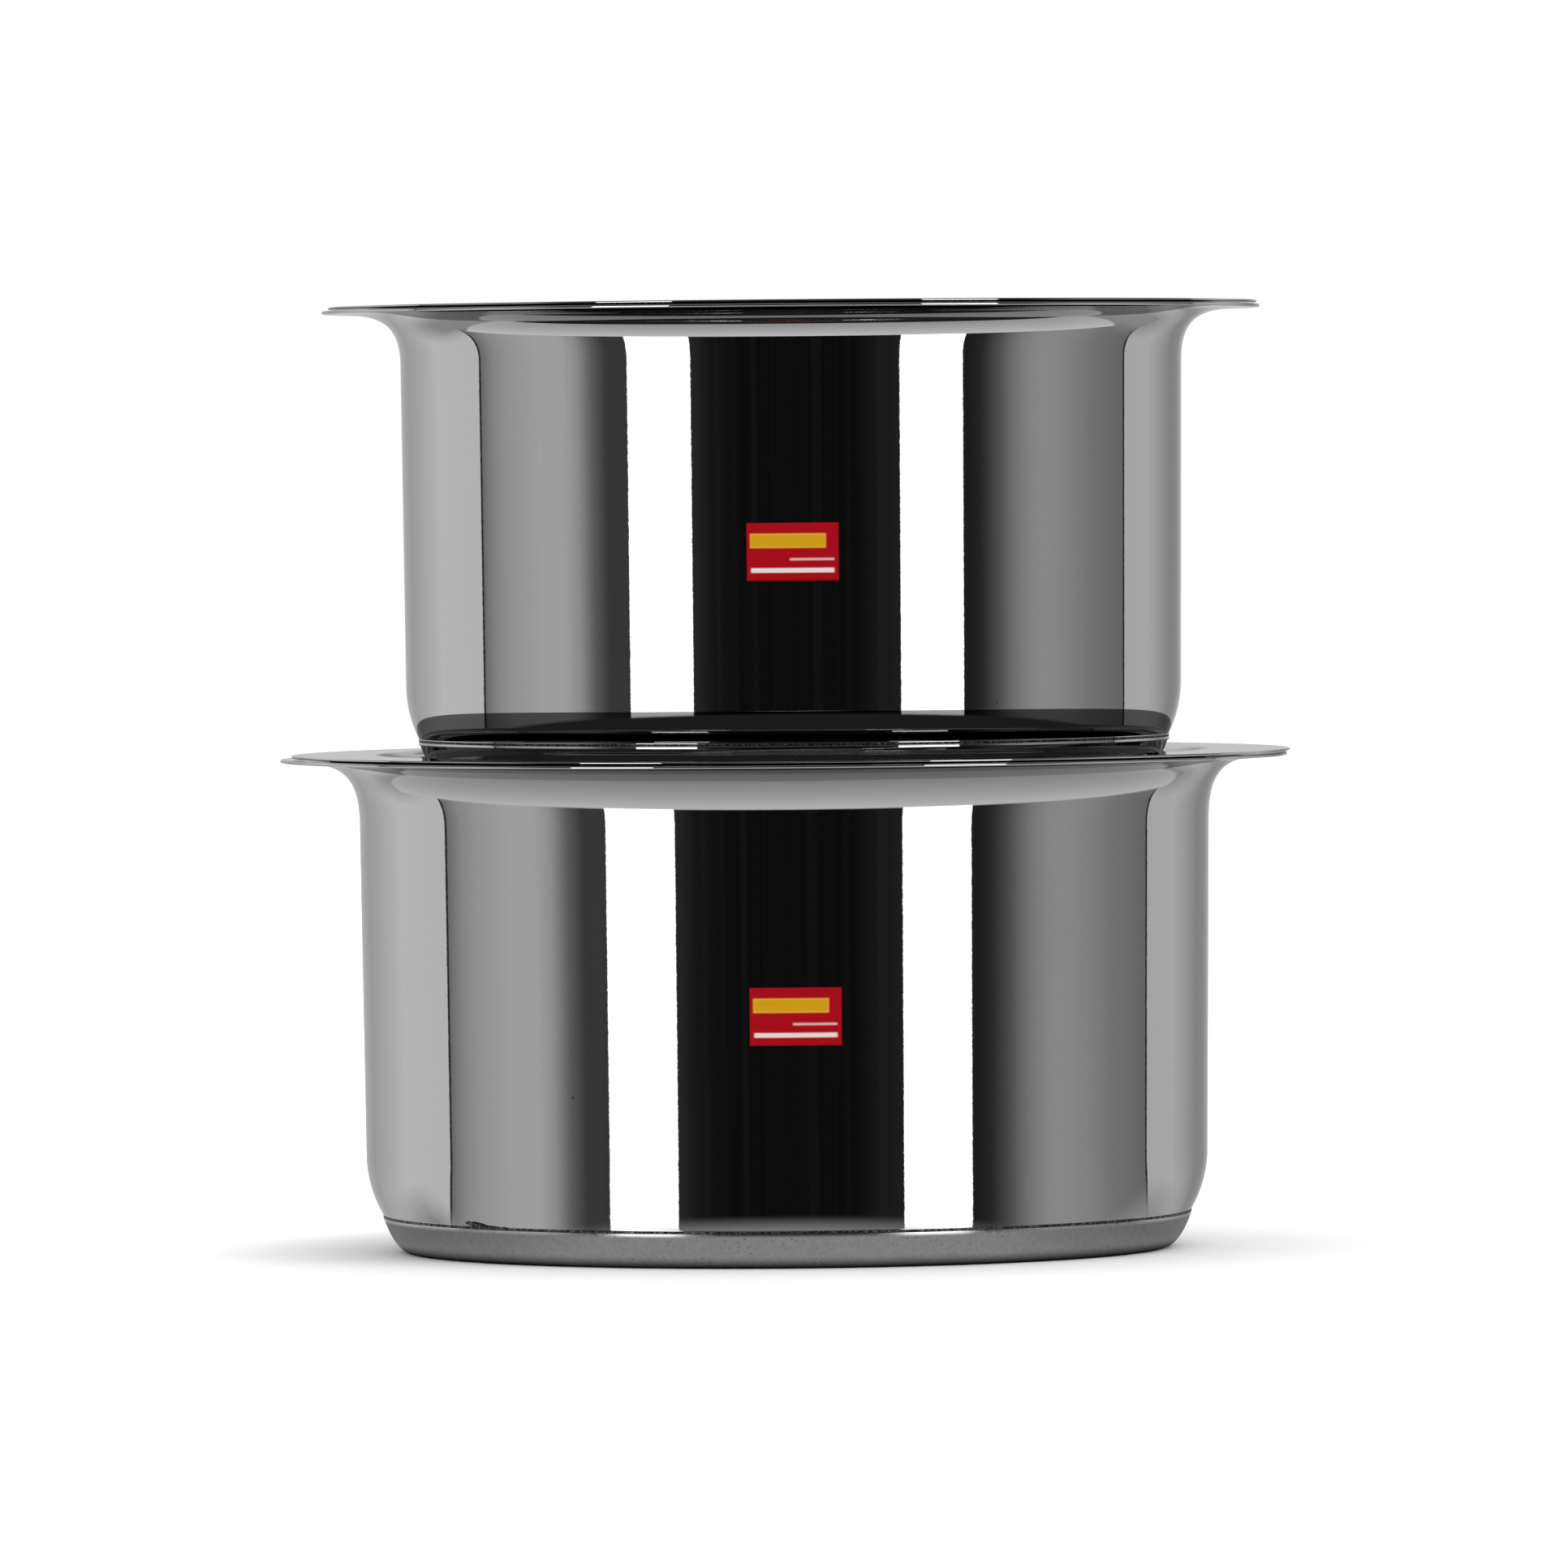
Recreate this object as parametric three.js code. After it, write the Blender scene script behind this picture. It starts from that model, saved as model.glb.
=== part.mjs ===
// Two flared-rim stainless-steel cooking pans, stacked. The smaller pan stands in the recessed lid
// of the larger one, and has a lid of its own. Millimetres, +Z up.
// The origin is the centre of the larger pan's underside; the stickers face -Y.
import * as THREE from "three";

// Resolution of the turned shapes
const TURN_SEGMENTS = 48;
const BEND_STEPS = 3; // flats on a tight bend
const SHOULDER_STEPS = 4; // flats on the wide curve above the base
const CAP_STEPS = 4; // flats on the side of the base capsule
const FLARE_STEPS = 9; // flats on the curve that opens the rim
const LABEL_STEPS = 6; // flats along a sticker's width

// Sheet metal and gaps
const PAN_GAUGE = 0.7;
const LID_GAUGE = 0.5;
const CAP_GAUGE = 0.5;
const BOND = 0.1; // between pieces that are pressed or stuck together
const REST_GAP = 0.3; // between a piece that lifts off and what it rests on

// Base, alike on both pans: a steel capsule pressed over an aluminium disc
const BOTTOM_BEND = 3; // outer radius of the pan's bottom bend, which the capsule hides
const CAP_PROUD = 0.35; // how far the capsule's edge stands out from the pan at the seam
const CAP_TAPER = 5.9; // the standing face is this much smaller in radius than the capsule's edge
const CAP_WAIST = { in: 2.5, up: 0.15 }; // control point of the capsule's side, from its edge
const CORE_REACH = 2.4; // the aluminium disc is this much larger in radius than the standing face
const CORE_CHAMFER = { in: 3.2, up: 2.8 };

// Flared rim: one curve from the wall to the rim's edge. Its tangents meet near the corner that the
// wall's line and the rim's underside make.
const FLARE_CORNER = 0.2; // how far below that corner the upright tangent ends
const FLARE_REACH = { out: 6.3, below: 0.1 }; // the second control point, out from the wall and down

// Lids
const WELL_DEPTH = 4.8; // from the lid's rim down to the floor of its recess
const WELL_BEND = 1.8; // larger radius of the bends at the top and bottom of the recess
const WELL_DRAFT = THREE.MathUtils.degToRad(16); // how far the recess's wall leans

// Stickers
const LABEL = { width: 19, height: 12, thickness: 0.12 };

// The pans. Radii are to the outside of the metal, heights are above the pan's own base.
const LOWER_PAN = {
  rim: 107,
  wallTop: 90.2,
  wallBottom: 89.4,
  shoulder: 20.8, // height at which the wall starts to curve in
  shoulderBend: 25,
  seam: 7.5, // height of the capsule's edge
  flare: 13.5, // from the top of the straight wall to the underside of the rim's edge
  height: 104.9,
  labelHeight: 52.6,
  labelTurn: THREE.MathUtils.degToRad(1.3), // round from the front
};
const UPPER_PAN = {
  rim: 99.6,
  wallTop: 82.9,
  wallBottom: 82.3,
  shoulder: 19.2,
  shoulderBend: 26,
  seam: 7.2,
  flare: 11,
  height: 98.7,
  labelHeight: 47.4,
  labelTurn: 0,
};

// The lids lie a little to +X of their pans, as they were put down.
const LOWER_LID = { rim: 106.1, well: 88.8, shift: 1.5 };
const UPPER_LID = { rim: 98.6, well: 81.5, shift: 0.4 };
const UPPER_PAN_SHIFT = 2.2; // the smaller pan stands this far to +X on the larger one

// Materials
const polishedSteel = new THREE.MeshStandardMaterial({
  color: 0xd8d9da,
  roughness: 0.06,
  metalness: 1,
});
const satinSteel = new THREE.MeshStandardMaterial({
  color: 0xb4b5b6,
  roughness: 0.35,
  metalness: 1,
});
const aluminium = new THREE.MeshStandardMaterial({
  color: 0xc9cbcd,
  roughness: 0.5,
  metalness: 1,
});
const redFoil = new THREE.MeshStandardMaterial({
  color: 0xc00a18,
  roughness: 0.3,
  metalness: 0.2,
});

const point = (r, z) => new THREE.Vector2(r, z);

// A solid of revolution about +Z from a closed profile of (radius, height) points.
function turned(name, profile, material) {
  const geometry = new THREE.LatheGeometry(profile, TURN_SEGMENTS);
  geometry.rotateX(Math.PI / 2);
  const mesh = new THREE.Mesh(geometry, material);
  mesh.name = name;
  return mesh;
}

// Points of an arc, from one angle to another, both ends included.
function arc(centre, radius, from, to, steps) {
  return Array.from({ length: steps + 1 }, (_, i) => {
    const angle = from + ((to - from) * i) / steps;
    return point(
      centre.x + radius * Math.cos(angle),
      centre.y + radius * Math.sin(angle),
    );
  });
}

// The closed profile of sheet metal: its outer line, then the same line moved in by the gauge.
function sheetProfile(outer, gauge) {
  const inner = outer.map((p, i) => {
    const before = outer[Math.max(i - 1, 0)];
    const after = outer[Math.min(i + 1, outer.length - 1)];
    const along = after.clone().sub(before).normalize();
    return point(p.x - along.y * gauge, p.y + along.x * gauge);
  });
  inner[0].x = 0;
  return [...outer, ...inner.reverse()];
}

// Angle through which the wall has curved in when it reaches the seam.
function seamAngle(pan) {
  return Math.asin((pan.shoulder - pan.seam) / pan.shoulderBend);
}

// Outer radius of the drawn pan at the seam.
function seamRadius(pan) {
  return pan.wallBottom - pan.shoulderBend * (1 - Math.cos(seamAngle(pan)));
}

// Height of the underside of the drawn pan's flat bottom.
function bottomHeight(pan) {
  return pan.seam - BOTTOM_BEND * (1 - Math.sin(seamAngle(pan)));
}

// The drawn pan: flat bottom, tight bend, wide shoulder, nearly upright wall, flared rim.
function panBody(name, pan) {
  const angle = seamAngle(pan);
  const bottom = bottomHeight(pan);
  const bendCentre = point(
    seamRadius(pan) - BOTTOM_BEND * Math.cos(angle),
    bottom + BOTTOM_BEND,
  );
  const shoulderCentre = point(pan.wallBottom - pan.shoulderBend, pan.shoulder);
  const edge = pan.height - PAN_GAUGE;
  const flare = new THREE.CubicBezierCurve(
    point(pan.wallTop, edge - pan.flare),
    point(pan.wallTop, edge - FLARE_CORNER),
    point(pan.wallTop + FLARE_REACH.out, edge - FLARE_REACH.below),
    point(pan.rim, edge),
  );
  const outer = [
    point(0, bottom),
    ...arc(bendCentre, BOTTOM_BEND, -Math.PI / 2, -angle, BEND_STEPS),
    ...arc(shoulderCentre, pan.shoulderBend, -angle, 0, SHOULDER_STEPS).slice(1),
    ...flare.getPoints(FLARE_STEPS),
  ];
  return turned(name, sheetProfile(outer, PAN_GAUGE), polishedSteel);
}

// The aluminium disc that spreads the heat, between the capsule and the drawn pan.
function heatCore(name, pan) {
  const radius = seamRadius(pan) + CAP_PROUD - CAP_TAPER + CORE_REACH;
  const low = CAP_GAUGE + BOND;
  const high = bottomHeight(pan) - BOND;
  const profile = [
    point(0, low),
    point(radius - CORE_CHAMFER.in, low),
    point(radius, low + CORE_CHAMFER.up),
    point(radius, high),
    point(0, high),
  ];
  return turned(name, profile, aluminium);
}

// The pressed steel capsule under the disc: a shallow dish that thins towards its edge at the seam.
function baseCap(name, pan) {
  const edge = seamRadius(pan) + CAP_PROUD;
  const standing = edge - CAP_TAPER;
  const outside = new THREE.QuadraticBezierCurve(
    point(standing, 0),
    point(edge - CAP_WAIST.in, CAP_WAIST.up),
    point(edge, pan.seam),
  );
  const inside = new THREE.QuadraticBezierCurve(
    point(seamRadius(pan) + BOND, pan.seam),
    point(edge - CAP_WAIST.in - CAP_GAUGE, CAP_WAIST.up + CAP_GAUGE),
    point(standing, CAP_GAUGE),
  );
  const profile = [
    point(0, 0),
    ...outside.getPoints(CAP_STEPS),
    ...inside.getPoints(CAP_STEPS),
    point(0, CAP_GAUGE),
  ];
  return turned(name, profile, satinSteel);
}

// The foil sticker, bent to the wall and leaning with it.
function label(name, pan) {
  const slope = (pan.wallTop - pan.wallBottom) / (pan.height - PAN_GAUGE - pan.flare - pan.shoulder);
  const wall = pan.wallBottom + slope * (pan.labelHeight - pan.shoulder);
  const inner = wall + BOND;
  const half = LABEL.width / 2 / wall;
  const front = -Math.PI / 2;
  const outline = new THREE.Shape([
    ...arc(point(0, 0), inner + LABEL.thickness, front - half, front + half, LABEL_STEPS),
    ...arc(point(0, 0), inner, front + half, front - half, LABEL_STEPS),
  ]);
  const geometry = new THREE.ExtrudeGeometry(outline, {
    depth: LABEL.height,
    bevelEnabled: false,
  });
  geometry.translate(0, wall, -LABEL.height / 2);
  geometry.rotateX(Math.atan(slope));
  geometry.translate(0, -wall, pan.labelHeight);
  geometry.rotateZ(pan.labelTurn);
  const mesh = new THREE.Mesh(geometry, redFoil);
  mesh.name = name;
  return mesh;
}

// A pressed lid: a flat ring that rests on the rim, and a recess that drops into the pan's mouth.
// Heights are from the top of the ring.
function lid(name, size) {
  const tight = WELL_BEND - LID_GAUGE;
  const low = -WELL_DEPTH - LID_GAUGE;
  const rise = WELL_DEPTH - (tight + WELL_BEND) * (1 - Math.sin(WELL_DRAFT));
  const lean = rise * Math.tan(WELL_DRAFT) + (tight + WELL_BEND) * Math.cos(WELL_DRAFT);
  const floorCentre = point(size.well - lean, low + WELL_BEND);
  const ringCentre = point(size.well, -LID_GAUGE - tight);
  const outer = [
    point(0, low),
    ...arc(floorCentre, WELL_BEND, -Math.PI / 2, -WELL_DRAFT, BEND_STEPS),
    ...arc(ringCentre, tight, Math.PI - WELL_DRAFT, Math.PI / 2, BEND_STEPS),
    point(size.rim, -LID_GAUGE),
  ];
  return turned(name, sheetProfile(outer, LID_GAUGE), polishedSteel);
}

// A pan with its base and sticker.
function pan(prefix, size) {
  const group = new THREE.Group();
  group.add(
    panBody(`${prefix}_pan_body`, size),
    heatCore(`${prefix}_heat_core`, size),
    baseCap(`${prefix}_base_cap`, size),
    label(`${prefix}_label`, size),
  );
  return group;
}

// A lid set down on its pan's rim.
function lidOn(prefix, panSize, lidSize) {
  const mesh = lid(`${prefix}_lid`, lidSize);
  mesh.position.set(lidSize.shift, 0, panSize.height + REST_GAP + LID_GAUGE);
  return mesh;
}

const upper = new THREE.Group();
upper.add(pan("upper", UPPER_PAN), lidOn("upper", UPPER_PAN, UPPER_LID));
upper.position.set(
  UPPER_PAN_SHIFT,
  0,
  LOWER_PAN.height + REST_GAP + LID_GAUGE - WELL_DEPTH + REST_GAP,
);

const stack = new THREE.Group();
stack.add(pan("lower", LOWER_PAN), lidOn("lower", LOWER_PAN, LOWER_LID), upper);

export default stack;
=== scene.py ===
"""The looks of two stacked stainless-steel pans with recessed lids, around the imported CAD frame.

Sizes are named in millimetres, as on a drawing, and MM turns them into the scene's metres. Radii and
heights of a piece are measured from its pan's axis and base, which come from the frame's boxes.
The pans stand at the origin and are seen from -Y.
"""

import math

import bpy
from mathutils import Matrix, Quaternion, Vector


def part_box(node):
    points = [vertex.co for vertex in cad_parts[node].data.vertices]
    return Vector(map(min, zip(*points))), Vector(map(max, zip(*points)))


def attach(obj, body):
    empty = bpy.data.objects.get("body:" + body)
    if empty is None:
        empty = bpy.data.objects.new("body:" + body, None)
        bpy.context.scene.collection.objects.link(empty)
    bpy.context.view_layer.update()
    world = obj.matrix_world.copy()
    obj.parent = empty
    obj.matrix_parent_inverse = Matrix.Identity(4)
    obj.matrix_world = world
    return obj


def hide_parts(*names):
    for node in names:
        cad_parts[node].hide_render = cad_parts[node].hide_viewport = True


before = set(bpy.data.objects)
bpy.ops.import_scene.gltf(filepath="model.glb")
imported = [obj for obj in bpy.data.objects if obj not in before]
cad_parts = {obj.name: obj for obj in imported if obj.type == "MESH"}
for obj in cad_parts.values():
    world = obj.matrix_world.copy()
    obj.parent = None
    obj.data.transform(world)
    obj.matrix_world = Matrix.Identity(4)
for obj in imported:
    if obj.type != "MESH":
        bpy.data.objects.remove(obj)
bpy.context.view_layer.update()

MM = 0.001
TURN_STEPS = 240  # faces round a turned piece
SUPPORT = 0.3  # mm from the end of a long straight to the extra point that keeps its shading flat

# Sheet metal
PAN_GAUGE = 0.7
LID_GAUGE = 0.5
CAP_GAUGE = 0.5
BOND = 0.1

# Shape of the pans, as in the CAD model
BOTTOM_BEND = 3
CAP_PROUD = 0.35
CAP_TAPER = 5.9
CAP_WAIST = (2.5, 0.15)
CAP_EDGE_ROUND = 0.14
CAP_EDGE_LEAN = math.radians(20)
FLARE_CORNER = 0.2
FLARE_REACH = (6.3, 0.1)
WELL_DEPTH = 4.8
WELL_BEND = 1.8
WELL_DRAFT = math.radians(16)
LABEL_THICKNESS = 0.12
LABEL_LIFT = 0.35  # how far a sticker's loose corner stands off
LABEL_CORNER = 0.14  # size of that corner, as a share of the sticker
SEAM_LINE = 0.3  # radius of the dark ring laid in the seam, painted shade of the groove between pan and cap
SEAM_PLACE = (0.08, 0.24)  # its place, out and up from the seam
SMEAR_DEPTH = 0.14

LOWER = {
    "wall_top": 90.2,
    "wall_bottom": 89.4,
    "shoulder": 20.8,
    "shoulder_bend": 25,
    "seam": 7.5,
    "flare": 13.5,
    "well": 88.8,
    "label_turn": 1.3,
    # Bright polished edges beside the seam: out and up from it, and half their depth and height.
    "bright_edges": {"seam_lip": (0.28, 0.6, 0.1, 0.1)},
    "smear_turns": (-51.3, -42.6),
    "smear": [
        (0, 1.05, 1.25),
        (0.08, 0.8, 1.5),
        (0.14, 0.6, 1.35),
        (0.22, 0, 1.5),
        (0.38, -0.1, 1.25),
        (0.52, 0.1, 0.8),
        (0.64, 0.3, 0.7),
        (0.8, 0.2, 0.55),
        (0.92, 0.35, 0.6),
        (1, 0.38, 0.45),
    ],
}
UPPER = {
    "wall_top": 82.9,
    "wall_bottom": 82.3,
    "shoulder": 19.2,
    "shoulder_bend": 26,
    "seam": 7.2,
    "flare": 11,
    "well": 81.5,
    "label_turn": 0,
    "bright_edges": {"seam_lip": (0.33, 0.5, 0.05, 0.13), "cap_bead": (0.35, -0.44, 0.05, 0.28)},
    "smear_turns": (64, 96),
    "smear": [(0, 0.1, 0.2), (0.3, 0, 0.42), (0.5, -0.05, 0.62), (0.7, -0.05, 0.45), (1, 0.1, 0.2)],
}


# ---- Profiles, in millimetres ----


def arc(centre, radius, start, end, steps=12):
    """Points of an arc between two angles in radians, both ends included."""
    angles = [start + (end - start) * i / steps for i in range(steps + 1)]
    return [
        (centre[0] + radius * math.cos(a), centre[1] + radius * math.sin(a))
        for a in angles
    ]


def bezier(points, steps):
    """Points of a quadratic or cubic Bezier curve."""
    degree = len(points) - 1
    found = []
    for i in range(steps + 1):
        t = i / steps
        weights = [math.comb(degree, k) * t**k * (1 - t) ** (degree - k) for k in range(degree + 1)]
        found.append(tuple(sum(w * p[axis] for w, p in zip(weights, points)) for axis in (0, 1)))
    return found


def moved_in(line, distance):
    """The line moved sideways, to the left of its direction."""
    found = []
    for i, (r, z) in enumerate(line):
        before, after = line[max(i - 1, 0)], line[min(i + 1, len(line) - 1)]
        along = Vector(after) - Vector(before)
        along.normalize()
        found.append((r - along.y * distance, z + along.x * distance))
    found[0] = (0, found[0][1])
    return found


def supported(line):
    """The line with extra points near the ends of its long straights."""
    found = [line[0]]
    for start, end in zip(line, line[1:]):
        span = Vector(end) - Vector(start)
        if span.length > 6 * SUPPORT:
            step = span.normalized() * SUPPORT
            found += [tuple(Vector(start) + step), tuple(Vector(end) - step)]
        found.append(end)
    return found


def sheet(outer, gauge):
    """Closed profile of sheet metal along a line that starts on the axis, with a round free edge."""
    inner = moved_in(outer, gauge)
    tip, direction = outer[-1], Vector(outer[-1]) - Vector(outer[-2])
    heading = math.atan2(direction.y, direction.x)
    back = direction.normalized() * gauge / 2
    centre = ((tip[0] + inner[-1][0]) / 2 - back.x, (tip[1] + inner[-1][1]) / 2 - back.y)
    edge = arc(centre, gauge / 2, heading - math.pi / 2, heading + math.pi / 2, steps=10)
    return supported(outer[:-1] + edge + inner[-2::-1])


def seam_angle(pan):
    return math.asin((pan["shoulder"] - pan["seam"]) / pan["shoulder_bend"])


def seam_radius(pan):
    return pan["wall_bottom"] - pan["shoulder_bend"] * (1 - math.cos(seam_angle(pan)))


def pan_profile(pan, rim, height):
    angle = seam_angle(pan)
    bottom = pan["seam"] - BOTTOM_BEND * (1 - math.sin(angle))
    bend_centre = (seam_radius(pan) - BOTTOM_BEND * math.cos(angle), bottom + BOTTOM_BEND)
    shoulder_centre = (pan["wall_bottom"] - pan["shoulder_bend"], pan["shoulder"])
    edge = height - PAN_GAUGE
    top = pan["wall_top"]
    flare = bezier(
        [
            (top, edge - pan["flare"]),
            (top, edge - FLARE_CORNER),
            (top + FLARE_REACH[0], edge - FLARE_REACH[1]),
            (rim, edge),
        ],
        steps=60,
    )
    outer = [(0, bottom)]
    outer += arc(bend_centre, BOTTOM_BEND, -math.pi / 2, -angle, steps=10)
    outer += arc(shoulder_centre, pan["shoulder_bend"], -angle, 0, steps=24)[1:]
    outer += flare
    return sheet(outer, PAN_GAUGE)


def cap_profile(pan):
    edge = seam_radius(pan) + CAP_PROUD
    standing = edge - CAP_TAPER
    waist = (edge - CAP_WAIST[0], CAP_WAIST[1])
    outside = bezier([(standing, 0), waist, (edge, pan["seam"])], steps=24)
    inside = bezier(
        [
            (seam_radius(pan) + BOND, pan["seam"]),
            (waist[0] - CAP_GAUGE, waist[1] + CAP_GAUGE),
            (standing, CAP_GAUGE),
        ],
        steps=12,
    )
    lip_centre = (edge - CAP_EDGE_ROUND, pan["seam"] - CAP_EDGE_ROUND)
    lip_end = math.pi / 2 + CAP_EDGE_LEAN
    lip = arc(lip_centre, CAP_EDGE_ROUND, -CAP_EDGE_LEAN, lip_end, steps=8)
    return supported([(0, 0)] + outside[:-1] + lip + inside[1:] + [(0, CAP_GAUGE)])


def lid_profile(pan, rim):
    """Heights are from the top of the lid's ring."""
    tight = WELL_BEND - LID_GAUGE
    low = -WELL_DEPTH - LID_GAUGE
    bends = tight + WELL_BEND
    rise = WELL_DEPTH - bends * (1 - math.sin(WELL_DRAFT))
    lean = rise * math.tan(WELL_DRAFT) + bends * math.cos(WELL_DRAFT)
    outer = [(0, low)]
    outer += arc((pan["well"] - lean, low + WELL_BEND), WELL_BEND, -math.pi / 2, -WELL_DRAFT)
    outer += arc((pan["well"], -LID_GAUGE - tight), tight, math.pi - WELL_DRAFT, math.pi / 2)
    outer += [(rim, -LID_GAUGE)]
    return sheet(outer, LID_GAUGE)


def ring_profile(radius, height, deep, tall, steps=16):
    """An oval wire, as a closed loop that doesn't touch the axis."""
    circle = arc((0, 0), 1, 0, 2 * math.pi, steps)[:-1]
    return [(radius + deep * across, height + tall * up) for across, up in circle]


# ---- Meshes ----


def turned(name, profile, centre, closed=False):
    """A smooth solid of revolution about the upright axis through centre, in metres."""
    rings = []
    points = []
    for r, z in profile:
        count = TURN_STEPS if r > 1e-6 else 1
        first = len(points)
        rings.append([first + i % count for i in range(TURN_STEPS)])
        for i in range(count):
            turn = 2 * math.pi * i / TURN_STEPS
            offset = Vector((r * math.cos(turn), r * math.sin(turn), z)) * MM
            points.append(centre + offset)
    faces = []
    pairs = list(zip(rings, rings[1:]))
    if closed:
        pairs.append((rings[-1], rings[0]))
    for low, high in pairs:
        for i in range(TURN_STEPS):
            j = (i + 1) % TURN_STEPS
            corners = [low[i], low[j], high[j], high[i]]
            faces.append(list(dict.fromkeys(corners)))
    return smooth_mesh(name, points, [f for f in faces if len(f) > 2])


def smooth_mesh(name, points, faces):
    mesh = bpy.data.meshes.new(name)
    mesh.from_pydata(points, [], faces)
    mesh.shade_smooth()
    mesh.update()
    piece = bpy.data.objects.new(name, mesh)
    bpy.context.scene.collection.objects.link(piece)
    return piece


def finished(piece, body, slot, material, *nodes):
    """The piece rides on its body, stands for its CAD nodes and takes its finish."""
    piece.data.materials.append(material)
    if nodes:
        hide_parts(*nodes)
    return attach(piece, body)


def underside(node):
    """The middle of a node's underside."""
    low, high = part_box(node)
    return Vector(((low.x + high.x) / 2, (low.y + high.y) / 2, low.z))


# ---- Materials ----


class Nodes:
    """A short way to write a node tree."""

    def __init__(self, tree):
        self.tree = tree
        self.tree.nodes.clear()

    def add(self, kind, inputs=None, **settings):
        node = self.tree.nodes.new("ShaderNode" + kind)
        for name, value in settings.items():
            setattr(node, name, value)
        for name, value in (inputs or {}).items():
            socket = node.inputs[name]
            if isinstance(value, bpy.types.NodeSocket):
                self.tree.links.new(value, socket)
            else:
                socket.default_value = value
        return node

    def math(self, operation, *values):
        node = self.add("Math", dict(enumerate(values)), operation=operation)
        return node.outputs[0]

    def spread(self, value, low, high, to_low=0.0, to_high=1.0, smooth=False):
        """value mapped from one range to another, and held at its ends."""
        node = self.add(
            "MapRange",
            {0: value, 1: low, 2: high, 3: to_low, 4: to_high},
            interpolation_type="SMOOTHSTEP" if smooth else "LINEAR",
        )
        return node.outputs[0]

    def mix(self, amount, a, b, blend_type="MIX"):
        node = self.add("MixRGB", {0: amount, 1: a, 2: b}, blend_type=blend_type)
        return node.outputs[0]

    def noise(self, where, scale, detail=2.0, roughness=0.5):
        """Noise with about as many grains to a unit of where as its scale says."""
        node = self.add(
            "TexNoise",
            {"Vector": where, "Scale": scale, "Detail": detail, "Roughness": roughness},
        )
        return node.outputs["Fac"]

    def stretched(self, where, scale):
        """Places whose noise is drawn out along the axes with a small scale."""
        return self.add("Mapping", {"Vector": where, "Scale": scale}).outputs[0]


def grey(value):
    return (value, value, value, 1)


def new_material(name, **constants):
    """A material with a Principled shader that has these constant values on its own sockets."""
    material = bpy.data.materials.new(name)
    material.use_nodes = True
    nodes = Nodes(material.node_tree)
    shader = nodes.add("BsdfPrincipled", {k.replace("_", " "): v for k, v in constants.items()})
    nodes.output = nodes.add("OutputMaterial", {"Surface": shader.outputs[0]})
    place = nodes.add("TexCoord").outputs["Object"]
    return material, nodes, shader, place


def set_input(nodes, shader, name, value):
    nodes.tree.links.new(value, shader.inputs[name])


def polished_steel():
    """Mirror-polished stainless sheet: a fine grain, faint upright drawing lines and a few specks."""
    material, nodes, shader, place = new_material("polished_steel", Metallic=1.0)
    grain = nodes.noise(place, 2200, 2)
    pebble = nodes.noise(place, 900, 1)
    drawn = nodes.noise(nodes.stretched(place, (1, 1, 0.06)), 900, 3)
    cloud = nodes.noise(place, 22, 3)
    speck = nodes.noise(place, 420, 1)
    specks = nodes.spread(speck, 0.83, 0.85)
    tone = nodes.mix(cloud, grey(0.585), grey(0.625))
    lined = nodes.mix(nodes.spread(drawn, 0.3, 0.7), tone, grey(0.61))
    film = nodes.noise(place, 3200, 1)
    lined = nodes.mix(nodes.spread(film, 0.3, 0.7, 0, 0.12), lined, grey(0.42))
    colour = nodes.mix(specks, lined, grey(0.16))
    set_input(nodes, shader, "Base Color", colour)
    rough = nodes.spread(drawn, 0.25, 0.75, 0.004, 0.016)
    set_input(nodes, shader, "Roughness", rough)
    height = nodes.math("ADD", grain, nodes.math("MULTIPLY", pebble, 2))
    bump = nodes.add("Bump", {"Strength": 1.0, "Distance": 5e-7, "Height": height})
    set_input(nodes, shader, "Normal", bump.outputs[0])
    return material


def lid_steel():
    """The lids' polish: the same sheet with the fine rings that buffing on a spindle leaves."""
    material, nodes, shader, place = new_material("lid_steel", Metallic=1.0)
    grain = nodes.noise(place, 2600, 2)
    parts = nodes.add("SeparateXYZ", {0: place})
    from_axis = nodes.add("VectorMath", {0: nodes.stretched(place, (1, 1, 0))}, operation="LENGTH")
    along = nodes.add("CombineXYZ", {0: from_axis.outputs["Value"], 1: parts.outputs[2]}).outputs[0]
    rings = nodes.noise(along, 1800, 3)
    cloud = nodes.noise(place, 30, 3)
    colour = nodes.mix(cloud, grey(0.58), grey(0.63))
    set_input(nodes, shader, "Base Color", colour)
    set_input(nodes, shader, "Roughness", nodes.spread(rings, 0.3, 0.7, 0.006, 0.02))
    height = nodes.math("ADD", grain, rings)
    bump = nodes.add("Bump", {"Strength": 1.0, "Distance": 1e-7, "Height": height})
    set_input(nodes, shader, "Normal", bump.outputs[0])
    return material


def satin_steel(name, roughness, relief):
    """A base capsule's sheet, with a mottled tone and small dark pits."""
    material, nodes, shader, place = new_material(name, Metallic=1.0)
    cell = nodes.add("TexVoronoi", {"Vector": place, "Scale": 900.0, "Randomness": 1.0})
    lone = nodes.spread(nodes.noise(place, 300, 1), 0.5, 0.62)
    near = nodes.spread(cell.outputs["Distance"], 0.12, 0.26, 1, 0)
    pits = nodes.math("MULTIPLY", near, lone)
    mottle = nodes.noise(place, 900, 4, 0.7)
    tone = nodes.mix(nodes.spread(mottle, 0.3, 0.7), grey(0.52), grey(0.66))
    set_input(nodes, shader, "Base Color", nodes.mix(pits, tone, grey(0.32)))
    set_input(nodes, shader, "Roughness", nodes.spread(mottle, 0.3, 0.7, *roughness))
    height = nodes.math("SUBTRACT", mottle, pits)
    bump = nodes.add("Bump", {"Strength": 1.0, "Distance": relief, "Height": height})
    set_input(nodes, shader, "Normal", bump.outputs[0])
    return material


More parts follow.
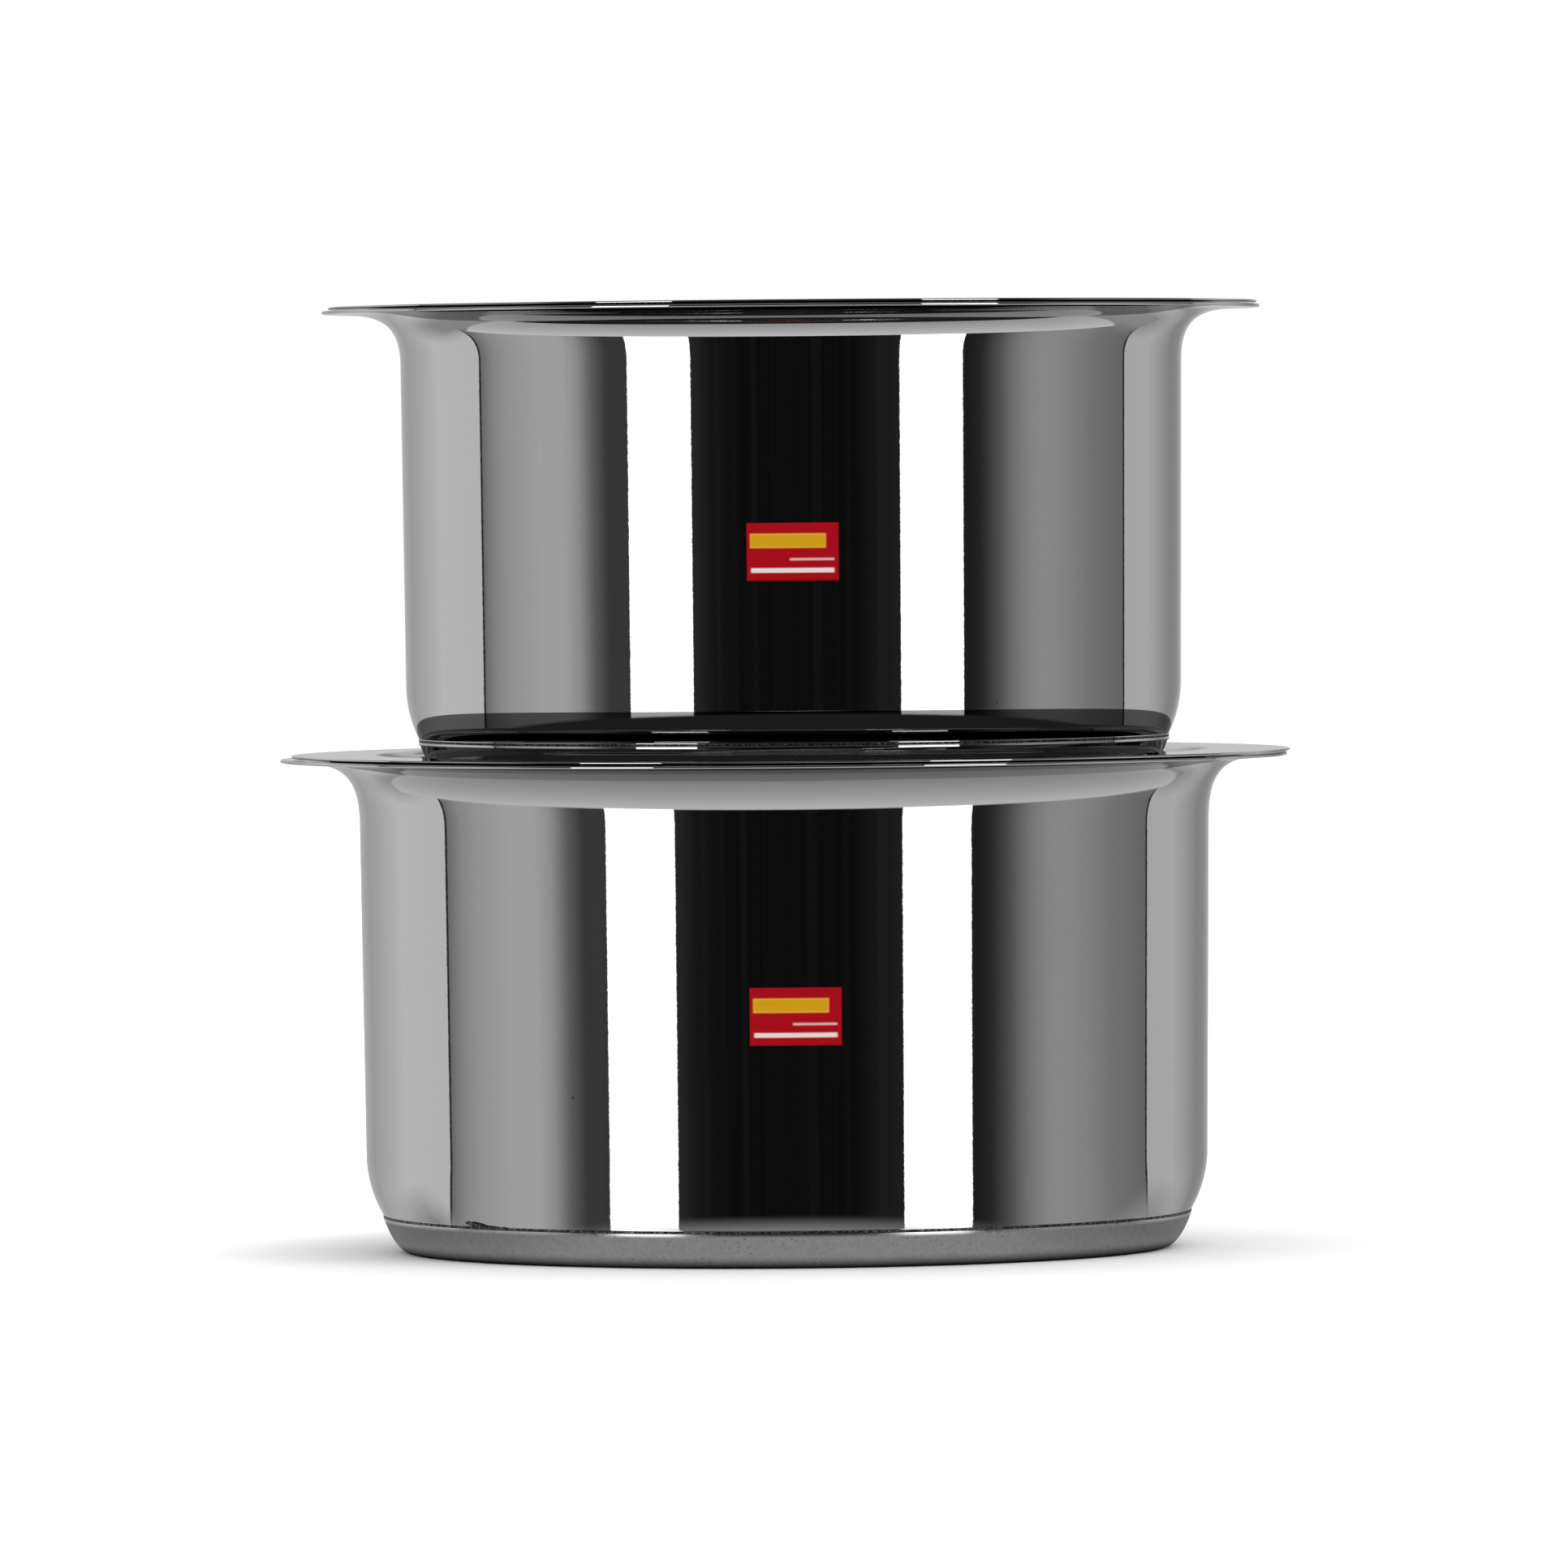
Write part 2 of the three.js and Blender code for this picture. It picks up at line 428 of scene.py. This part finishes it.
def core_aluminium():
    """The aluminium discs inside the bases: rolled sheet with a fine straight grain."""
    material, nodes, shader, place = new_material("core_aluminium", Metallic=1.0)
    rolled = nodes.noise(nodes.stretched(place, (0.05, 1, 1)), 1100, 3)
    cloud = nodes.noise(place, 60, 2)
    tone = nodes.mix(cloud, (0.72, 0.73, 0.74, 1), (0.8, 0.81, 0.82, 1))
    colour = nodes.mix(nodes.spread(rolled, 0.3, 0.7), tone, grey(0.74))
    set_input(nodes, shader, "Base Color", colour)
    set_input(nodes, shader, "Roughness", nodes.spread(rolled, 0.3, 0.7, 0.28, 0.42))
    bump = nodes.add("Bump", {"Strength": 1.0, "Distance": 5e-6, "Height": rolled})
    set_input(nodes, shader, "Normal", bump.outputs[0])
    return material


def seam_paste_and_shade():
    """Dried polishing paste on the seams, for the smears; the same dark finish on the seam ring is
    painted shade of the groove between pan and cap.
    """
    material, nodes, shader, place = new_material("seam_paste_and_shade", Metallic=0.7)
    crumbs = nodes.noise(place, 1500, 4)
    dark, pale = (0.015, 0.014, 0.013, 1), (0.14, 0.135, 0.13, 1)
    colour = nodes.mix(nodes.spread(crumbs, 0.45, 0.65), dark, pale)
    set_input(nodes, shader, "Base Color", colour)
    set_input(nodes, shader, "Roughness", nodes.spread(crumbs, 0.3, 0.7, 0.6, 0.22))
    bump = nodes.add("Bump", {"Strength": 0.8, "Distance": 1e-4, "Height": crumbs})
    set_input(nodes, shader, "Normal", bump.outputs[0])
    return material


def label_foil():
    """Red foil with a plain yellow bar and two plain pale bars below it."""
    material, nodes, shader, place = new_material("label_foil", Specular_IOR_Level=0.04)
    generated = nodes.add("TexCoord").outputs["Generated"]
    parts = nodes.add("SeparateXYZ", {0: generated})
    across, up = parts.outputs[0], parts.outputs[2]

    def bar(centre, half, soft=0.012):
        """1 inside a bar with this centre and these half sizes, 0 outside."""
        sides = []
        for value, middle, reach in zip((across, up), centre, half):
            away = nodes.math("ABSOLUTE", nodes.math("SUBTRACT", value, middle))
            sides.append(nodes.spread(away, reach - soft, reach + soft, 1, 0))
        return nodes.math("MULTIPLY", *sides)

    fibre = nodes.noise(place, 1400, 3)
    red = nodes.mix(fibre, (0.21, 0, 0.003, 1), (0.26, 0.0005, 0.005, 1))
    outlined = nodes.mix(bar((0.45, 0.69), (0.41, 0.125)), red, (0.45, 0.24, 0.02, 1))
    yellow = nodes.mix(bar((0.45, 0.69), (0.395, 0.1)), outlined, (0.38, 0.2, 0.004, 1))
    thin = nodes.mix(bar((0.71, 0.37), (0.24, 0.02)), yellow, (0.45, 0.25, 0.25, 1))
    colour = nodes.mix(bar((0.5, 0.18), (0.45, 0.04)), thin, (0.5, 0.42, 0.4, 1))
    set_input(nodes, shader, "Base Color", colour)
    set_input(nodes, shader, "Roughness", nodes.spread(fibre, 0.3, 0.7, 0.38, 0.5))
    bump = nodes.add("Bump", {"Strength": 0.4, "Distance": 8e-6, "Height": fibre})
    set_input(nodes, shader, "Normal", bump.outputs[0])
    return material


# ---- The stickers ----


def label_piece(name, node, pan, centre):
    """A thin curved sheet over the CAD sticker, with one corner that has lifted a little."""
    low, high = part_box(node)
    height = (high.z - low.z) / MM
    middle = (high.z + low.z) / 2
    rise = (middle - centre.z) / MM - pan["shoulder"]
    slope = (pan["wall_top"] - pan["wall_bottom"]) / pan["straight"]
    wall = pan["wall_bottom"] + slope * rise
    half_turn = math.asin((high.x - low.x) / 2 / MM / wall)
    columns, rows = 40, 26
    points = []
    for back in (0, 1):
        for row in range(rows + 1):
            up = row / rows - 0.5
            for column in range(columns + 1):
                side = 2 * column / columns - 1
                near_side = max(0, -side - 1 + LABEL_CORNER) / LABEL_CORNER
                near_foot = max(0, -up - 0.5 + LABEL_CORNER) / LABEL_CORNER
                proud = BOND if back else BOND + LABEL_THICKNESS
                lift = proud + LABEL_LIFT * near_side * near_foot
                radius = wall + slope * up * height + lift
                turn = math.radians(pan["label_turn"]) + side * half_turn
                offset = Vector((math.sin(turn), -math.cos(turn), 0)) * radius * MM
                points.append(Vector((centre.x, centre.y, middle + up * height * MM)) + offset)
    faces = []
    wide = columns + 1
    layer = wide * (rows + 1)
    for row in range(rows):
        for column in range(columns):
            first = row * wide + column
            face = [first, first + 1, first + wide + 1, first + wide]
            faces.append(face)
            faces.append([layer + corner for corner in reversed(face)])
    border = list(range(columns))
    border += [row * wide + columns for row in range(rows)]
    border += [rows * wide + column for column in range(columns, 0, -1)]
    border += [row * wide for row in range(rows, 0, -1)]
    for first, second in zip(border, border[1:] + border[:1]):
        faces.append([second, first, layer + first, layer + second])
    return smooth_mesh(name, points, faces)


# ---- Dried paste ----


def smear(name, pan, centre, turns, outline):
    """A thin patch over the seam: between two turns, (share of the way, lower edge, upper edge)."""
    bend = pan["shoulder_bend"]
    points = []
    for share, low, high in outline:
        turn = math.radians(turns[0] + share * (turns[1] - turns[0]))
        for rise, proud in ((low, 0), (low, SMEAR_DEPTH), (high, SMEAR_DEPTH), (high, 0)):
            z = pan["seam"] + rise
            reach = math.sqrt(bend**2 - (pan["shoulder"] - z) ** 2)
            radius = pan["wall_bottom"] - bend + reach + proud
            offset = Vector((math.sin(turn) * radius, -math.cos(turn) * radius, z))
            points.append(centre + offset * MM)
    last = len(points) - 4
    faces = [(0, 1, 2, 3), (last + 3, last + 2, last + 1, last)]
    for first in range(0, last, 4):
        for side in range(4):
            beside = (side + 1) % 4
            faces.append((first + side, first + 4 + side, first + 4 + beside, first + beside))
    return smooth_mesh(name, points, faces)


# ---- The stack ----

steel = polished_steel()
lid_finish = lid_steel()
caps = {
    "lower": satin_steel("satin_steel", (0.13, 0.21), 6e-6),
    "upper": satin_steel("buffed_steel", (0.008, 0.02), 2e-7),
}
# One dark finish: dried paste for the smears, and painted shade for the seam ring.
paste_and_shade = seam_paste_and_shade()
foil = label_foil()
core_finish = core_aluminium()

for prefix, pan in (("lower", LOWER), ("upper", UPPER)):
    body = prefix + "_pan"
    core = bpy.data.objects[prefix + "_heat_core"]
    core.data.materials.clear()
    core.data.materials.append(core_finish)
    base = underside(prefix + "_base_cap")
    low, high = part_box(prefix + "_pan_body")
    rim = (high.x - low.x) / 2 / MM
    height = (high.z - base.z) / MM
    pan["straight"] = height - PAN_GAUGE - pan["flare"] - pan["shoulder"]

    drawn_pan = turned(prefix + "_pan_fine", pan_profile(pan, rim, height), base)
    finished(drawn_pan, body, "polished_steel", steel, prefix + "_pan_body")

    cap = turned(prefix + "_cap_fine", cap_profile(pan), base)
    finished(cap, body, "satin_steel", caps[prefix], prefix + "_base_cap")

    # The seam ring is a dark ring laid in the groove between pan and cap: painted shade of that
    # groove.
    out, up = SEAM_PLACE
    line = ring_profile(seam_radius(pan) + out, pan["seam"] + up, SEAM_LINE, SEAM_LINE)
    seam = turned(prefix + "_seam_line", line, base, closed=True)
    finished(seam, body, "satin_steel", paste_and_shade)
    for edge_name, (out, up, deep, tall) in pan["bright_edges"].items():
        line = ring_profile(seam_radius(pan) + out, pan["seam"] + up, deep, tall)
        edge = turned(prefix + "_" + edge_name, line, base, closed=True)
        finished(edge, body, "polished_steel", steel)

    paste = smear(prefix + "_smear", pan, base, pan["smear_turns"], pan["smear"])
    finished(paste, body, "satin_steel", paste_and_shade)

    sticker = label_piece(prefix + "_label_fine", prefix + "_label", pan, base)
    finished(sticker, body, "label_foil", foil, prefix + "_label")

    lid_low, lid_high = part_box(prefix + "_lid")
    lid_centre = Vector(((lid_low.x + lid_high.x) / 2, base.y, lid_high.z))
    lid_rim = (lid_high.x - lid_low.x) / 2 / MM
    lid = turned(prefix + "_lid_fine", lid_profile(pan, lid_rim), lid_centre)
    finished(lid, prefix + "_lid", "polished_steel", lid_finish, prefix + "_lid")


# ---- Camera ----

EYE_DISTANCE = 3190 * MM
EYE_HEIGHT = 168 * MM
AIM_HEIGHT = 98.74 * MM
LENS = 344.7
SENSOR = 36
ROLL = math.radians(-0.48)

camera_data = bpy.data.cameras.new("camera")
camera_data.lens = LENS
camera_data.sensor_width = SENSOR
camera_data.clip_end = 50
camera = bpy.data.objects.new("camera", camera_data)
bpy.context.scene.collection.objects.link(camera)
camera.location = (0, -EYE_DISTANCE, EYE_HEIGHT)
aim = Vector((0, 0, AIM_HEIGHT)) - camera.location
camera.rotation_mode = "QUATERNION"
camera.rotation_quaternion = aim.to_track_quat("-Z", "Y") @ Quaternion((0, 0, 1), ROLL)
bpy.context.scene.camera = camera


# ---- Studio ----

# What stands round the pans and how bright it is, by degrees from the camera to its right. A dark
# room lies behind the camera, with a lit panel on each side of it, then grey flats, and the backdrop.
PANELS = [(-49.1, -29.6), (31.9, 51.5)]
PANEL_LIGHT = 2.6
FLATS = [
    (-105, 0.12),
    (-104, 0.22),
    (-98, 0.39),
    (-90, 0.49),
    (-80, 0.56),
    (-71, 0.56),
    (-66, 0.43),
    (-61, 0.17),
    (-56, 0.06),
    (-51, 0.06),
    (-29, 0.03),
    (-24, 0.012),
    (-14, 0.006),
    (18, 0.006),
    (31, 0.02),
    (54, 0.018),
    (58, 0.035),
    (63, 0.11),
    (69, 0.27),
    (75, 0.38),
    (80, 0.4),
    (90, 0.36),
    (100, 0.27),
    (116, 0.2),
]
BACKDROP = [
    (-180, 0.6),
    (-168, 0.48),
    (-155, 0.43),
    (-140, 0.58),
    (-128, 0.73),
    (-106, 0.73),
    (117, 0.61),
    (130, 0.61),
    (150, 0.31),
    (160, 0.31),
    (172, 0.5),
    (180, 0.6),
]
FLATS_SPAN = (-105, 116)
FLATS_FRAME = 0.9  # width of the flats' dark frames, in degrees
FRAME_DARK = 0.03
EDGE_SOFT = 0.15  # half the width of every upright edge, in degrees
SHOULDER_SHARE = 0.28  # a shoulder's bend as a share of its wall's radius
TURN_KEPT = (1.1, 1.4)  # turn of a wall, in radians, over which that share fades out
PANEL_TOP = (24, 26)  # degrees above the horizon where all of it gives way to the ceiling
PANEL_FALL = (12, 14.5)  # degrees above the horizon where the panels grow dimmer
PANEL_DIM = 0.8
# The ceiling is dark in front of the pans, paler behind them and even straight above them. The
# edges are parts of a unit direction: along Y, and along Z for the zenith.
CEILING_EDGE = (0.45, 0.9)
CEILING_LIGHT = (0.11, 0.38)
ZENITH = (0.985, 0.999)
ZENITH_LIGHT = 0.3
# The backdrop is one grey low down behind the pans, with edges along Y and Z in the same way.
LOW_BEHIND = (0.42, 0.62)
LOW_DOWN = (-0.2, -0.45)
LOW_BACKDROP = 0.36
# Faint upright folds in the dark cloth: folds to the degree, where they stand out, and their light.
FOLDS = 0.22
FOLD_EDGE = (0.5, 0.75)
FOLD_LIGHT = 0.007
DIFFUSE_SKY = 1.9  # light of the whole sky as matte surfaces receive it
# How much shows of the room mirrored in steel that is itself seen in steel, level and higher up,
# and the degrees above the horizon between which that changes.
TWICE_SEEN = (0.55, 0.26)
TWICE_RISE = (2, 8)

# The table as the steel sees it: its round edge and its straight back edge, and its light, which
# grows over TABLE_SPAN from the pans outwards.
TABLE_EDGE = (362 * MM, 366 * MM)
TABLE_BACK = (130 * MM, 142 * MM)
TABLE_SPAN = (100 * MM, 362 * MM)
TABLE_LIGHT = (0.36, 0.8)
CONTACT = (80.5 * MM, 85 * MM)  # it is dark under the pan
SIDES = (45 * MM, 85 * MM)  # and dimmer to the pan's left and right, in the base's edge
SIDE_LIGHT = 0.6
# It is dimmer when it is mirrored again: the mirrorings over which it dims, and what is left.
AGAIN = (1.5, 2.5)
AGAIN_LIGHT = 0.65
# The floor is pale paper, with a painted shadow: greyer close to the pans on their left, beside and
# behind them.
FLOOR_REACH = 6  # metres from the pans to each edge
PAPER = (0.78, 0.82)
SHADOW_REACH = (85 * MM, 122 * MM)
BEHIND = (-75 * MM, -30 * MM)
LEFT = (20 * MM, -20 * MM)
SHADOW_TONE = 0.57
# The table shows in the base's edge, below CAP_TOP. Elsewhere it shows where a mirrored ray meets
# it steeply enough, by the sine of the angle: SHOULDER_STEEP in the last of a shoulder's bend, and
# WALL_STEEP in a wall or a flare. For the wall, the sine is first lessened on account of the
# shoulder's bend: by nothing at SHOULDER_TOP and by SHOULDER_TURN at the table's height.
CAP_TOP = (6.6 * MM, 7.4 * MM)
WALL_STEEP = (0.335, 0.365)
SHOULDER_TOP = 20.8 * MM
SHOULDER_TURN = 1.66
SHOULDER_STEEP = (0.72, 0.97)


def studio_world():
    world = bpy.data.worlds.new("studio")
    bpy.context.scene.world = world
    world.use_nodes = True
    nodes = Nodes(world.node_tree)
    parts = nodes.add("SeparateXYZ", {0: nodes.add("TexCoord").outputs["Generated"]})
    x, y, z = parts.outputs
    # A direction that a wall mirrors to the camera tells how far the wall is turned and how far it
    # leans. The flats stand so that their edges stay upright in the shoulders, which draw in as they
    # lean.
    wall_turn = nodes.math("ARCTAN2", x, nodes.math("SUBTRACT", 1, y))
    tilt = nodes.math("DIVIDE", z, nodes.math("COSINE", wall_turn))
    lean = nodes.math("DIVIDE", nodes.math("ARCSINE", nodes.spread(tilt, -1, 1, -1, 1)), 2)
    drawn_in = nodes.spread(nodes.math("COSINE", lean), 0, 1, 1 - SHOULDER_SHARE, 1)
    sideways = nodes.math("MULTIPLY", nodes.math("SINE", wall_turn), drawn_in)
    kept = nodes.spread(nodes.math("ABSOLUTE", wall_turn), *TURN_KEPT, smooth=True)
    half_turn = nodes.mix(kept, nodes.math("ARCSINE", sideways), wall_turn)
    turn = nodes.math("MULTIPLY", nodes.math("DEGREES", half_turn), 2)

    def ramp(stops):
        node = nodes.add("ValToRGB", {0: nodes.spread(turn, -180, 180)})
        elements = node.color_ramp.elements
        elements[0].position, elements[1].position = ((stops[i][0] + 180) / 360 for i in (0, -1))
        for degrees, _ in stops[1:-1]:
            elements.new((degrees + 180) / 360)
        for element, (_, value) in zip(elements, stops):
            element.color = grey(value)
        return node.outputs[0]

    def between(low, high):
        """1 between two turns, 0 elsewhere."""
        after = nodes.spread(turn, low - EDGE_SOFT, low + EDGE_SOFT)
        before = nodes.spread(turn, high - EDGE_SOFT, high + EDGE_SOFT, 1, 0)
        return nodes.math("MULTIPLY", after, before)

    low, high = FLATS_SPAN
    around = nodes.mix(between(low, high), ramp(BACKDROP), grey(FRAME_DARK))
    around = nodes.mix(between(low + FLATS_FRAME, high - FLATS_FRAME), around, ramp(FLATS))
    folds = nodes.noise(nodes.add("CombineXYZ", {0: turn}).outputs[0], FOLDS, 5)
    glow = nodes.spread(folds, *FOLD_EDGE, 0, FOLD_LIGHT)
    around = nodes.mix(1, around, glow, blend_type="ADD")
    low_behind = nodes.math("MULTIPLY", nodes.spread(y, *LOW_BEHIND), nodes.spread(z, *LOW_DOWN))
    around = nodes.mix(low_behind, around, grey(LOW_BACKDROP))
    elevation = nodes.math("DEGREES", nodes.math("ARCSINE", z))
    above = nodes.spread(y, *CEILING_EDGE, *CEILING_LIGHT, smooth=True)
    above = nodes.mix(nodes.spread(z, *ZENITH, smooth=True), above, grey(ZENITH_LIGHT))
    upper = nodes.mix(nodes.spread(elevation, *PANEL_TOP), around, above)
    rays = nodes.add("LightPath")
    dimmed = nodes.spread(elevation, *TWICE_RISE, *TWICE_SEEN)
    twice = nodes.spread(rays.outputs["Glossy Depth"], 1, 2)
    share = nodes.mix(twice, grey(1.0), dimmed)
    mirrored = nodes.mix(1, upper, share, blend_type="MULTIPLY")
    panel = nodes.mix(nodes.spread(elevation, *PANEL_FALL), grey(PANEL_LIGHT), grey(PANEL_DIM))
    under_top = nodes.spread(elevation, *PANEL_TOP, 1, 0)
    for span in PANELS:
        there = nodes.math("MULTIPLY", between(*span), under_top)
        mirrored = nodes.mix(there, mirrored, panel)
    seen = nodes.mix(rays.outputs["Is Diffuse Ray"], mirrored, grey(DIFFUSE_SKY))
    colour = nodes.mix(rays.outputs["Is Camera Ray"], seen, grey(1.0))
    background = nodes.add("Background", {"Color": colour})
    nodes.add("OutputWorld", {"Surface": background.outputs[0]})


def floor():
    square = [(-1, -1), (1, -1), (1, 1), (-1, 1)]
    corners = [Vector((x * FLOOR_REACH, y * FLOOR_REACH, 0)) for x, y in square]
    piece = smooth_mesh("floor", corners, [(0, 1, 2, 3)])
    material, nodes, shader, place = new_material("floor_paper", Roughness=0.9)
    tooth = nodes.noise(place, 500, 3)
    paper = nodes.mix(tooth, grey(PAPER[0]), grey(PAPER[1]))
    away = nodes.add("VectorMath", {0: place}, operation="LENGTH").outputs["Value"]
    here = nodes.add("SeparateXYZ", {0: place}).outputs
    # Painted shadow: the paper's colour is greyer near the pans, to their left and behind them.
    painted_shadow = nodes.math("MULTIPLY", nodes.spread(away, *SHADOW_REACH, 1, 0), nodes.spread(here[1], *BEHIND))
    painted_shadow = nodes.math("MULTIPLY", painted_shadow, nodes.spread(here[0], *LEFT))
    set_input(nodes, shader, "Base Color", nodes.mix(painted_shadow, paper, grey(SHADOW_TONE)))
    facing = nodes.add("LayerWeight", {"Blend": 0.5}).outputs["Facing"]
    steep = nodes.math("SUBTRACT", 1, facing)
    rays = nodes.add("LightPath")
    origin = nodes.math("MULTIPLY", steep, rays.outputs["Ray Length"])
    in_cap = nodes.spread(origin, *CAP_TOP, 1, 0)
    bend = nodes.spread(origin, 0, SHOULDER_TOP, SHOULDER_TURN, 0)
    in_wall = nodes.spread(nodes.math("SUBTRACT", steep, bend), *WALL_STEEP)
    in_shoulder = nodes.spread(steep, *SHOULDER_STEEP, smooth=True)
    shown = nodes.math("MAXIMUM", nodes.math("MAXIMUM", in_cap, in_wall), in_shoulder)
    round_edge = nodes.spread(away, *TABLE_EDGE, 1, 0)
    inside = nodes.math("MULTIPLY", round_edge, nodes.spread(here[1], *TABLE_BACK, 1, 0))
    lit = nodes.spread(away, *TABLE_SPAN, *TABLE_LIGHT)
    aside = nodes.math("ABSOLUTE", here[0])
    beside = nodes.math("MULTIPLY", in_cap, nodes.spread(aside, *SIDES))
    lit = nodes.math("MULTIPLY", lit, nodes.spread(beside, 0, 1, 1, SIDE_LIGHT))
    again = nodes.spread(rays.outputs["Glossy Depth"], *AGAIN, 1, AGAIN_LIGHT)
    lit = nodes.math("MULTIPLY", lit, again)
    contact = nodes.spread(away, *CONTACT, smooth=True)
    light = nodes.add("Emission", {"Color": nodes.math("MULTIPLY", lit, contact)}).outputs[0]
    past = nodes.add("BsdfTransparent").outputs[0]
    amount = nodes.math("MULTIPLY", shown, inside)
    reflected = nodes.add("MixShader", {0: amount, 1: past, 2: light}).outputs[0]
    glossy = rays.outputs["Is Glossy Ray"]
    mixed = nodes.add("MixShader", {0: glossy, 1: shader.outputs[0], 2: reflected}).outputs[0]
    nodes.tree.links.new(mixed, nodes.output.inputs["Surface"])
    piece.data.materials.append(material)


studio_world()
floor()

bpy.context.scene.view_settings.view_transform = "Standard"
